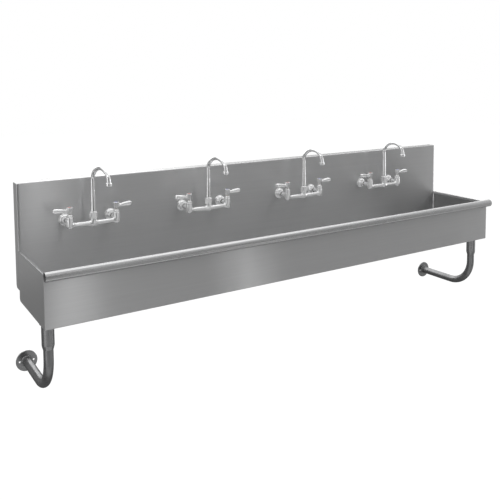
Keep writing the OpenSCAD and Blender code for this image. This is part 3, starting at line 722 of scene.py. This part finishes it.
def inset_outline(outline, inset, top):
    """The outline moved inwards, except along its top, where the hem goes on."""
    line = np.array(outline, float)
    before = line - np.roll(line, 1, axis=0)
    after = np.roll(line, -1, axis=0) - line
    area = 0.5 * np.sum(line[:, 0] * np.roll(line[:, 1], -1) - np.roll(line[:, 0], -1) * line[:, 1])
    turn = 1 if area > 0 else -1
    result = []
    for point, a, b in zip(line, before, after):
        na = np.array([-a[1], a[0]]) / np.linalg.norm(a) * turn
        nb = np.array([-b[1], b[0]]) / np.linalg.norm(b) * turn
        move = (na + nb) / (1 + na @ nb)
        moved = point + inset * move
        if near(point[1], top):
            moved[1] = top
        result.append(tuple(moved))
    return result


def corner_weld_mesh(side):
    """The ground weld in the inside corner between the bowl and an end panel."""
    inner = [(SPLASH_Y, RIM_Z - 0.5), (SPLASH_Y, -330), (SPLASH_Y, BOTTOM_Z + COVE_R)]
    inner += arc(SPLASH_BACK_Y - COVE_R, BOTTOM_Z + COVE_R, COVE_R - SHEET, 0, -90, 12)
    inner += [(DRAIN_Y, BOTTOM_Z + SHEET)]
    inner += arc(FRONT_Y + FRONT_BEND_R, BOTTOM_Z + FRONT_BEND_R, FRONT_BEND_R - SHEET, 270, 180, 6)
    inner += [(FRONT_Y + SHEET, -330), (FRONT_Y + SHEET, HEM_FOOT_Z)]
    path = np.array(inner)
    ahead = np.gradient(path, axis=0)
    ahead /= np.linalg.norm(ahead, axis=1)[:, None]
    normal = np.stack([ahead[:, 1], -ahead[:, 0]], axis=1)
    centre = np.array([DRAIN_Y, -300])
    for k in range(len(path)):
        if (centre - path[k]) @ normal[k] < 0:
            normal[k] = -normal[k]
    steps = 5
    lift = 0.02
    points = []
    for p, n in zip(path, normal):
        for s in range(steps + 1):
            angle = math.pi / 2 * s / steps
            along = CORNER_WELD_R * (1 - math.sin(angle))
            up = CORNER_WELD_R * (1 - math.cos(angle))
            y, z = p + n * (up + lift)
            points.append((side * (INNER_X - along - lift), y, z))
    faces = []
    for j in range(len(path) - 1):
        for s in range(steps):
            a = j * (steps + 1) + s
            faces.append((a, a + 1, a + steps + 2, a + steps + 1))
    return Shape().add(points, faces).mesh("corner weld", [weld_steel], 60)


place("back_panel_sheet", back_panel_mesh(), "sink", ["back_panel"])
place("trough_pan_sheet", trough_pan_mesh(), "sink", ["trough_pan"])
for side, word in ((-1, "left"), (1, "right")):
    place(word + "_end_sheet", end_panel_mesh(side), "sink", [word + "_end_panel"])
    place(word + "_corner_weld", corner_weld_mesh(side), "sink")


# Supports

def support_path():
    """The tube's centre line from inside the socket down, round the bend and back to the wall flange."""
    centre_z = SUPPORT_Z + TUBE_BEND_R
    path = [(0, 0, BOTTOM_Z - 10), (0, 0, BOTTOM_Z - 60), (0, 0, centre_z + 1)]
    for angle in np.radians(np.linspace(0, 90, 33)):
        y = TUBE_BEND_R - TUBE_BEND_R * math.cos(angle)
        path.append((0, y, centre_z - TUBE_BEND_R * math.sin(angle)))
    path += [(0, TUBE_BEND_R + 1, SUPPORT_Z), (0, 200, SUPPORT_Z)]
    path.append((0, -SUPPORT_Y - FLANGE_T, SUPPORT_Z))
    return path


def weld_bead(radius, size, ripples, segments=144):
    """A rippled ring of weld round a tube, about Z, rising from Z = 0."""
    points = []
    for k in range(segments):
        angle = 2 * math.pi * k / segments
        swell = 1 + 0.12 * math.sin(ripples * angle) + 0.05 * math.sin(3 * angle + 1)
        for s in range(7):
            t = math.pi / 2 * s / 6
            r = radius + size * swell * math.cos(t)
            points.append((r * math.cos(angle), r * math.sin(angle), size * swell * math.sin(t)))
    faces = []
    for k in range(segments):
        for s in range(6):
            a = k * 7 + s
            b = ((k + 1) % segments) * 7 + s
            faces.append((a, b, b + 1, a + 1))
    return points, faces


tube = Shape().add(*sweep(support_path(), TUBE_R, TUBE_SIDES))
tube_mesh = tube.mesh("support tube", [tube_steel_painted_shade], 40)
along = tube_mesh.uv_layers.new(name="along")
for loop in tube_mesh.loops:
    ring, spoke = divmod(loop.vertex_index, TUBE_SIDES)
    along.data[loop.index].uv = (ring, spoke / TUBE_SIDES)
bead = Shape().add(*weld_bead(TUBE_R, 4.5, 30), matrix=Matrix.Rotation(math.pi / 2, 4, "X"))
bead_mesh = bead.mesh("flange weld", [support_steel], 60)
collar_bead = Shape().add(*weld_bead(COLLAR_R, 2.5, 40), matrix=Matrix.Rotation(math.pi, 4, "X"))
collar_bead_mesh = collar_bead.mesh("collar weld", [weld_steel], 60)
for side, word in ((-1, "left"), (1, "right")):
    spot = metres(shift(side * SUPPORT_X, SUPPORT_Y, 0))
    place(word + "_support_pipe", tube_mesh, "sink", [word + "_support_tube"], spot)
    spot = metres(shift(side * SUPPORT_X, -FLANGE_T, SUPPORT_Z))
    place(word + "_flange_weld", bead_mesh, "sink", (), spot)
    spot = metres(shift(side * SUPPORT_X, SUPPORT_Y, BOTTOM_Z))
    place(word + "_collar_weld", collar_bead_mesh, "sink", (), spot)


# Supply fittings

def threaded(r, root, low, high, pitch):
    """A profile of thread ridges along Z from low to high."""
    profile = []
    z = low
    while z < high - pitch:
        profile += [(root, z), (r, z + pitch * 0.5)]
        z += pitch
    profile.append((root, z))
    profile.append((root, high))
    return profile


TO_FRONT = Matrix.Rotation(math.pi / 2, 4, "X")
escutcheon = Shape().add(*lathe([
    (10.75, 0.2), (26, 0.0), (26, 1.0), (25.6, 1.5), (24.4, 2.1), (22.6, 2.9), (20.8, 3.9), (19.4, 5.2),
    (18.6, 6.4), (17.6, 7.2), (16.6, 7.5), (10.75, 7.5),
], 64), matrix=TO_FRONT)
coupling = Shape().add(*hex_nut(17, 10.7, 7.5, 24.2, 15.6), matrix=TO_FRONT)
coupling.add(*lathe([(10.1, 24.0), (14.4, 24.0), (14.3, 25.4), (13.6, 26.6), (12.6, 27.0), (10.1, 27.0)], 48),
             matrix=TO_FRONT)
nipple = Shape().add(*lathe(
    [(7.85, -31.6), (9.7, -31.6)] + threaded(10.65, 9.75, -31.2, -9.6, 1.81)
    + [(9.85, -9.5), (9.85, -7.7), (10.65, -7.6), (10.65, 20), (7.85, 20)], 40, closed=True),
    matrix=TO_FRONT)
locknut = Shape().add(*hex_nut(17, 10.7, -7.6, -1.6, 15.6), matrix=TO_FRONT)


def at_inlets(source, name, material, node):
    whole = Shape()
    for x in STATIONS:
        for side in (-1, 1):
            whole.add(source.points, source.faces,
                      matrix=shift(x + side * INLET_HALF, SPLASH_Y, INLET_Z))
    place(name, whole.mesh(name, [material]), "sink", [node])


at_inlets(escutcheon, "escutcheon_set", cast_chrome, "wall_escutcheons")
at_inlets(coupling, "coupling_nut_set", cast_chrome, "coupling_nuts")
at_inlets(nipple, "threaded_nipple_set", brass, "supply_nipples")
at_inlets(locknut, "supply_locknut_set", brass, "supply_locknuts")


# Faucets

def body_distance(p):
    q = p.copy()
    q[:, 0] = np.abs(q[:, 0])
    y = -VALVE_REACH
    tower = cone_bar(q, (INLET_HALF, y, -12), (INLET_HALF, y, 6), 14.0, 13.6)
    tower = blend_min(tower, turned_disc(q, INLET_HALF, y, -6, 24, 13.4, 14.0, 1.2), 3)
    arm = cone_bar(q, (INLET_HALF, -35, 0), (INLET_HALF, y, -2), 10, 9.8)
    bar = cone_bar(q, (INLET_HALF, y, -10), (0, y, -12.5), 8.0, 10.8)
    boss = cone_bar(q, (0, y, -12.5), (0, y, 3), 13.0, 12.4)
    seat = turned_disc(q, 0, y, 3, 10, 13, 13, 1.0)
    value = blend_min(tower, arm, 5)
    value = blend_min(value, bar, 9)
    value = blend_min(value, boss, 9)
    return blend_min(value, seat, 2)


def lever_distance(p):
    hub = turned_disc(p, 0, 0, 38, 66, 8.3, 14.5, 1.6)
    t = np.clip((p[:, 0] - 6) / 53, 0, 1)
    wide = 6 + 5 * t
    middle = 51 + 4 * t
    thick = 6 + 3 * t
    soft = 4.6
    x_over = np.where(p[:, 0] > 59, p[:, 0] - 59, np.minimum(p[:, 0] - 6, 0))
    across = np.hypot(p[:, 1], x_over) - wide + soft
    up = np.abs(p[:, 2] - middle) - thick + soft
    blade = np.hypot(np.maximum(across, 0), np.maximum(up, 0))
    blade = blade + np.minimum(np.maximum(across, up), 0) - soft
    dish_t = np.clip((p[:, 0] - 30) / 30, 0, 1)
    dish = (np.hypot(p[:, 1] / (3.2 + 3.2 * dish_t), (p[:, 0] - 46) / 19) - 1) * 3
    floor = middle + thick - 1.5
    dish = np.maximum(dish, floor - p[:, 2])
    blade = -blend_min(-blade, dish, 1.6)
    q = p.copy()
    q[:, 1] = np.abs(q[:, 1])
    flute = cone_bar(q, (24, 12.5, 52.4), (59, 14.8, 55), 6, 6)
    blade = -blend_min(-blade, flute, 1.2)
    value = blend_min(hub, blade, 4)
    pocket = np.maximum(np.hypot(p[:, 0], p[:, 1]) - 8.2, 63.6 - p[:, 2])
    return -blend_min(-value, pocket, 0.8)


body_mesh = Shape().add(*surface_of(body_distance, (-120, -93, -31), (120, -20, 28), 1.8)).mesh(
    "faucet body", [cast_chrome], 80)
lever_points, lever_faces = surface_of(lever_distance, (-18, -17, 34), (76, 17, 70), 1.1)

bonnet = Shape().add(*hex_nut(14, 4.1, 24, 30.3, 12.9))
bonnet.add(*lathe([(10.2, 30.0), (10.0, 31.2), (9.2, 32.2), (8.6, 33.2), (8.4, 34.4), (7.9, 35.0),
                   (4.1, 35.0)]))
bonnets = Shape()
for x in STATIONS:
    for side in (-1, 1):
        bonnets.add(bonnet.points, bonnet.faces,
                    matrix=shift(x + side * INLET_HALF, VALVE_Y, INLET_Z))
place("bonnet_set", bonnets.mesh("bonnets", [cast_chrome]), "sink", ["valve_bonnets"])

spout_nut = Shape().add(*hex_nut(17.5, 8.9, 10.2, 33.0, 16.0))
spout_nut.add(*lathe([(8.9, 32.8), (14.6, 32.8), (14.5, 35.2), (13.6, 37.2), (12.4, 38.0), (8.9, 38.0)], 64))
spout_nuts = Shape()
for x in STATIONS:
    spout_nuts.add(spout_nut.points, spout_nut.faces, matrix=shift(x, VALVE_Y, INLET_Z))
place("spout_nut_set", spout_nuts.mesh("spout nuts", [cast_chrome]), "sink", ["spout_nuts"])


def spout_mesh():
    """The gooseneck tube with the tapered sleeve round its foot."""
    top = 168.5
    path = [(0, 0, z) for z in (-3, 30, 60, 100, 140, top)]
    for angle in np.radians(np.linspace(0, 180, 49)):
        y = -SPOUT_BEND_R + SPOUT_BEND_R * math.cos(angle)
        path.append((0, y, top + 1 + SPOUT_BEND_R * math.sin(angle)))
    path += [(0, -SPOUT_REACH, top), (0, -SPOUT_REACH, SPOUT_TIP_Z)]
    shape = Shape().add(*sweep(path, SPOUT_R, 48))
    shape.add(*lathe([
        (8.5, 38.4), (11.4, 38.4), (11.5, 38.8), (11.4, 42.0), (11.1, 50.0), (10.5, 70.0), (9.9, 90.0),
        (9.3, 110.0), (8.9, 124.0), (8.75, 127.4), (8.5, 128.0),
    ], 64))
    return shape.mesh("gooseneck", [chrome], 40)


def aerator_mesh():
    """A turned collar with two grooves and a screen inside its mouth."""
    shape = Shape()
    profile = [(8.6, 14.0), (11.0, 14.0), (11.7, 13.5), (12.0, 12.6), (12.0, 9.4), (11.5, 9.0), (11.5, 8.4),
               (12.0, 8.0), (12.0, 5.2), (11.5, 4.8), (11.5, 4.2), (12.0, 3.8), (12.0, 0.9), (11.6, 0.2),
               (10.8, 0.0), (8.9, 0.0), (8.5, 0.4), (8.5, 2.5)]
    shape.add(*lathe(profile, 64))
    shape.add(*lathe([(8.5, 2.5), (6.5, 2.2), (3.0, 2.0), (0.01, 1.95)], 48), slot=1)
    return shape.mesh("aerator", [chrome, screen_steel], 30)


def stem_mesh():
    """The stem where it shows between bonnet and hub, and the handle screw."""
    shape = Shape().add(*lathe([(0.01, 30), (4, 30), (4, 60.9), (0.01, 60.9)], 32))
    shape.add(*lathe([(3.8, 61.0), (3.8, 62.4), (3.2, 63.2), (2.0, 63.5), (0.01, 63.5)], 32))
    # The stem takes the darkened brass, painted shade
    return shape.mesh("stem", [brass_painted_shade], 40)


def index_mesh(material):
    """A domed button seated in the hub."""
    return Shape().add(*lathe([
        (7.8, 63.8), (8.0, 64.2), (8.0, 65.4), (7.7, 66.0), (7.2, 66.3), (6.4, 66.25), (6.0, 66.0),
        (5.4, 66.15), (4.0, 66.45), (2.0, 66.58), (0.01, 66.6),
    ], 48)).mesh("index button", [material], 40)


spout_data = spout_mesh()
aerator_data = aerator_mesh()
stem_data = stem_mesh()
index_data = {-1: index_mesh(red_plastic), 1: index_mesh(blue_plastic)}
lever_data = {
    side: Shape().add([(side * x, y, z) for x, y, z in lever_points], lever_faces).mesh(
        "lever", [cast_chrome], 50)
    for side in (-1, 1)
}

for number, x in enumerate(STATIONS, 1):
    station = shift(x, SPLASH_Y, INLET_Z)
    place(f"cast_body_{number}", body_mesh, "sink", [f"faucet_body_{number}"], metres(station))
    pivot = station @ shift(0, -VALVE_REACH, 0) @ Matrix.Rotation(math.radians(SPOUT_SWING), 4, "Z")
    body = f"spout_{number}"
    place(f"gooseneck_{number}", spout_data, body, [f"gooseneck_spout_{number}"], metres(pivot))
    place(f"aerator_collar_{number}", aerator_data, body, [f"aerator_{number}"],
          metres(pivot @ shift(0, -SPOUT_REACH, AERATOR_FOOT_Z)))
    for side, word in ((-1, "hot"), (1, "cold")):
        body = f"{word}_lever_{number}"
        spot = metres(station @ shift(side * INLET_HALF, -VALVE_REACH, 0))
        place(f"{word}_lever_piece_{number}", lever_data[side], body,
              [f"{word}_handle_{number}"], spot)
        place(f"{word}_stem_piece_{number}", stem_data, body, [f"{word}_stem_{number}"], spot)
        place(f"{word}_button_{number}", index_data[side], body,
              [f"{word}_index_{number}"], spot)


# Materials of the solids that stay

KEPT = {
    "wall_hanger": hanger_steel, "hanger_cleat": hanger_steel,
    "drain_body": drain_steel, "drain_strainer": drain_steel, "drain_gasket": rubber,
    "drain_locknut": brass, "left_support_socket": support_steel,
    "right_support_socket": support_steel, "left_wall_flange": support_steel,
    "right_wall_flange": support_steel, "socket_set_screws": screw_steel,
    "coupling_washers": rubber,
}
for name, material in KEPT.items():
    for slot in nodes[name].material_slots:
        slot.link = "OBJECT"
        slot.material = material


# Floor, reflectors, light and camera

def flat_card(name, corners, material):
    mesh = bpy.data.meshes.new(name)
    mesh.from_pydata(corners, [], [(0, 1, 2, 3)])
    mesh.materials.append(material)
    card = bpy.data.objects.new(name, mesh)
    bpy.context.scene.collection.objects.link(card)
    return card


def floor_material():
    """A pale floor, seen as part of the white background with a soft shadow left on it."""
    material, tree, shader = new_material("pale floor")
    shader.inputs["Roughness"].default_value = 0.8
    tree.links.new(tint(tree, noise(tree, 3.0), (0.78, 0.78, 0.78), (0.82, 0.82, 0.82)),
                   shader.inputs["Base Color"])
    white = add(tree, "ShaderNodeEmission")
    white.inputs["Strength"].default_value = 1.16
    path_kind = add(tree, "ShaderNodeLightPath")
    mixed = add(tree, "ShaderNodeMixShader")
    tree.links.new(math_node(tree, "MULTIPLY", path_kind.outputs["Is Camera Ray"], 0.8),
                   mixed.inputs["Fac"])
    tree.links.new(shader.outputs["BSDF"], mixed.inputs[1])
    tree.links.new(white.outputs["Emission"], mixed.inputs[2])
    tree.links.new(mixed.outputs["Shader"], tree.nodes["Material Output"].inputs["Surface"])
    return material


def glow_material(name, stops):
    """A reflector that glows, with a level that changes along X."""
    material = bpy.data.materials.new(name)
    material.use_nodes = True
    tree = material.node_tree
    tree.nodes.clear()
    output = add(tree, "ShaderNodeOutputMaterial")
    glow = add(tree, "ShaderNodeEmission")
    where = add(tree, "ShaderNodeTexCoord")
    parts = add(tree, "ShaderNodeSeparateXYZ")
    tree.links.new(where.outputs["Object"], parts.inputs["Vector"])
    low = stops[0][0]
    high = stops[-1][0]
    levels = add(tree, "ShaderNodeValToRGB")
    points = levels.color_ramp.elements
    while len(points) < len(stops):
        points.new(0.5)
    for point, (x, level) in zip(points, stops):
        point.position = (x - low) / (high - low)
        point.color = (level, level, level, 1)
    tree.links.new(ramp(tree, parts.outputs["X"], low, high, 0.0, 1.0), levels.inputs["Fac"])
    tree.links.new(levels.outputs["Color"], glow.inputs["Color"])
    tree.links.new(glow.outputs["Emission"], output.inputs["Surface"])
    return material


def glossy_card(name, corners, stops):
    """A reflector that only glossy surfaces see."""
    card = flat_card(name, corners, glow_material(name, stops))
    card.visible_camera = False
    card.visible_diffuse = False
    card.visible_shadow = False


def upright_card(name, x0, x1, y, z0, z1, stops):
    glossy_card(name, [(x0, y, z0), (x1, y, z0), (x1, y, z1), (x0, y, z1)], stops)


floor = flat_card("floor", [(x, y, FLOOR_Z * MM) for x, y in ((-14, -12), (14, -12), (14, 14), (-14, 14))],
                  floor_material())
floor.visible_glossy = False

FRONT_CARD_Y = -2.2
BACK_CARD_Y = 3.0
# Each reflector has its levels as pairs: where along X, and how bright
upright_card("upper front reflector", -6.0, 7.0, FRONT_CARD_Y, 0.0, 1.6, [
    (-6.0, 1.60), (-3.9, 1.50), (-3.3, 0.03), (-0.92, 0.03), (-0.76, 0.40), (-0.68, 0.95), (-0.62, 1.30),
    (-0.55, 1.15), (-0.47, 0.80), (-0.38, 0.42), (1.0, 0.38), (3.8, 0.42), (4.4, 1.00), (7.0, 1.10)])
upright_card("front reflector", -6.0, 7.0, FRONT_CARD_Y, -1.0, 0.0, [
    (-6.0, 1.60), (-3.9, 1.50), (-3.3, 0.03), (-0.92, 0.03), (-0.76, 0.35), (-0.68, 0.85), (-0.62, 1.15),
    (-0.55, 1.05), (-0.47, 0.70), (-0.38, 0.40), (1.0, 0.38), (3.8, 0.42), (4.4, 1.00), (7.0, 1.10)])
upright_card("low front reflector", -6.0, 7.0, FRONT_CARD_Y, -3.0, -1.0, [
    (-6.0, 0.80), (-2.9, 0.60), (-2.3, 0.55), (-1.6, 0.55), (-1.3, 0.50), (-0.90, 0.36), (-0.74, 0.35),
    (-0.68, 0.65), (-0.62, 0.95), (-0.55, 0.88), (-0.47, 0.60), (-0.38, 0.38), (1.0, 0.34), (3.8, 0.34),
    (4.4, 0.70), (7.0, 0.80)])
upright_card("low bright strip", 0.66, 1.08, FRONT_CARD_Y + 0.01, -1.7, -0.74, [
    (0.66, 0.40), (0.68, 2.60), (0.80, 2.20), (0.92, 0.70), (1.08, 0.38)])
upright_card("side reflector", -7.0, -1.6, BACK_CARD_Y, -3.0, 3.0, [(-7.0, 0.33), (-1.6, 0.33)])
upright_card("back band", -1.6, 8.0, BACK_CARD_Y, 0.4, 1.0, [
    (-1.6, 2.60), (0.4, 2.60), (1.2, 1.30), (2.0, 1.00), (2.8, 0.60), (8.0, 0.50)])
upright_card("back reflector", -1.6, 8.0, BACK_CARD_Y, 1.0, 3.5, [
    (-1.6, 2.30), (0.4, 2.30), (2.0, 2.10), (3.6, 2.00), (8.0, 1.80)])
upright_card("lower back reflector", -1.6, 8.0, BACK_CARD_Y, -3.0, 0.4, [(-1.6, 0.25), (8.0, 0.25)])
glossy_card("lower reflector", [(-7, -0.6, -1.3), (7, -0.6, -1.3), (7, 3, -1.3), (-7, 3, -1.3)],
            [(-7.0, 0.2), (7.0, 0.2)])
glossy_card("right reflector", [(6.5, FRONT_CARD_Y, -1.0), (6.5, BACK_CARD_Y, -1.0),
                                (6.5, BACK_CARD_Y, 1), (6.5, FRONT_CARD_Y, 1)],
            [(6.0, 2.6), (7.0, 2.6)])


def area_lamp(name, place_at, target, width, height, power):
    light = bpy.data.lights.new(name, "AREA")
    light.shape = "RECTANGLE"
    light.size = width
    light.size_y = height
    light.energy = power
    lamp = bpy.data.objects.new(name, light)
    lamp.location = place_at
    lamp.rotation_euler = (Vector(target) - Vector(place_at)).to_track_quat("-Z", "Y").to_euler()
    bpy.context.scene.collection.objects.link(lamp)


area_lamp("overhead softbox", (0.3, 0.3, 2.6), (0.3, -0.2, 0), 6.0, 2.6, 48)
area_lamp("front softbox", (-2.5, -4.0, 2.6), (0, -0.2, -0.2), 2.4, 1.6, 40)

world = bpy.data.worlds.new("studio")
world.use_nodes = True
bpy.context.scene.world = world
tree = world.node_tree
background = tree.nodes["Background"]
background.inputs["Color"].default_value = (1, 1, 1, 1)
path_kind = add(tree, "ShaderNodeLightPath")
seen = math_node(tree, "MAXIMUM", path_kind.outputs["Is Camera Ray"], path_kind.outputs["Is Glossy Ray"])
seen = math_node(tree, "MAXIMUM", seen, path_kind.outputs["Is Transmission Ray"])
lit = add(tree, "ShaderNodeMapRange")
lit.inputs["To Min"].default_value = 0.55
tree.links.new(seen, lit.inputs["Value"])
tree.links.new(ramp(tree, path_kind.outputs["Is Camera Ray"], 0, 1, 0.8, 1.0), lit.inputs["To Max"])
tree.links.new(lit.outputs["Result"], background.inputs["Strength"])

camera_data = bpy.data.cameras.new("photo camera")
camera = bpy.data.objects.new("photo camera", camera_data)
bpy.context.scene.collection.objects.link(camera)
camera_data.lens = 47.875
camera_data.sensor_width = 36.0
camera_data.shift_y = -0.25
camera_data.clip_end = 60
YAW = 0.56
PITCH = 0.082
ROLL = -0.006
forward = Vector((math.sin(YAW) * math.cos(PITCH), math.cos(YAW) * math.cos(PITCH), -math.sin(PITCH)))
camera.location = (-1.832936, -2.82832, 0.499207)
turned = forward.to_track_quat("-Z", "Y") @ Quaternion((0, 0, 1), ROLL)
camera.rotation_euler = turned.to_euler()
bpy.context.scene.camera = camera
bpy.context.scene.view_settings.view_transform = "Standard"
